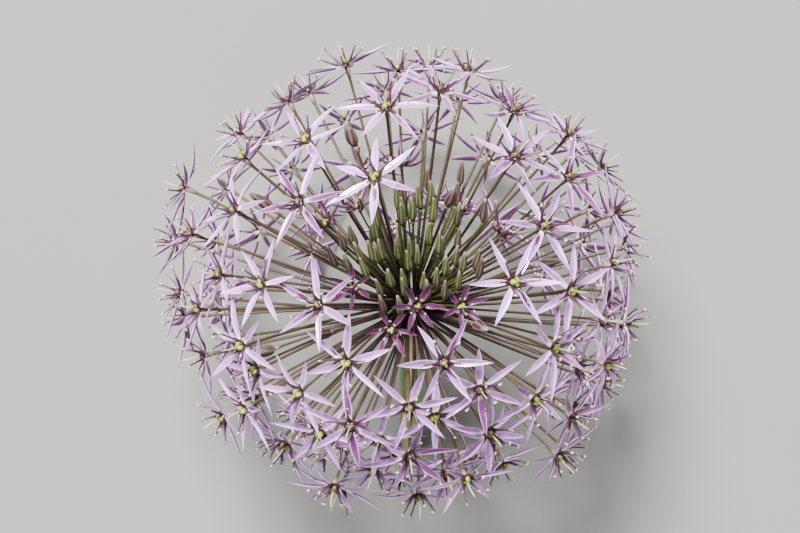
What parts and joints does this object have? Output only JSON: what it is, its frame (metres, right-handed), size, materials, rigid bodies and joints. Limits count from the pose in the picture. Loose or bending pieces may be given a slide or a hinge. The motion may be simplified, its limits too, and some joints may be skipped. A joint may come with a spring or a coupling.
{
  "type": "allium flower head",
  "caption": "Round allium flower head of starry lilac florets on radiating stalks round a tuft of green buds, cut with a short scape and laid down.",
  "frame": {"origin": "middle of the head's outer box, on the surface that it lies on", "axes": "+Z up from the surface; +Y the side that the scape leans to as it rises into the head; +X to the right for someone who looks down on the head with +Y up"},
  "size_m": [0.19, 0.1798, 0.1744],
  "materials": {
    "tepals": "satin with a silvery lilac sheen, deeper mauve midrib",
    "buds": "matt olive green, streaked with purple brown",
    "pedicels": "satin taupe brown, greener towards the flowers",
    "filaments": "satin dark maroon",
    "anthers": "matt pale grey green",
    "ovaries": "glossy yellow green, bumpy",
    "scape": "satin green with a thin bloom and fine ribs, pale at the cut",
    "spathe": "matt dry straw colour with long veins"
  },
  "bodies": {
    "root": {"bud_cluster_01": "buds", "bud_cluster_02": "buds", "bud_cluster_03": "buds", "bud_cluster_04": "buds", "upper_florets_01": "tepals", "upper_florets_02": "tepals", "upper_florets_03": "tepals", "upper_florets_04": "tepals", "upper_florets_05": "tepals", "upper_florets_06": "tepals", "upper_florets_07": "tepals", "upper_florets_08": "tepals", "upper_florets_09": "tepals", "upper_florets_10": "tepals", "upper_florets_11": "tepals", "upper_florets_12": "tepals", "lower_florets_01": "tepals", "lower_florets_02": "tepals", "lower_florets_03": "tepals", "lower_florets_04": "tepals", "lower_florets_05": "tepals", "lower_florets_06": "tepals", "lower_florets_07": "tepals", "lower_florets_08": "tepals", "lower_florets_09": "tepals", "lower_florets_10": "tepals", "lower_florets_11": "tepals", "lower_florets_12": "tepals", "scape_and_receptacle": "scape", "spathe_valve_1": "spathe", "spathe_valve_2": "spathe", "spathe_valve_3": "spathe"}
  },
  "joints": []
}
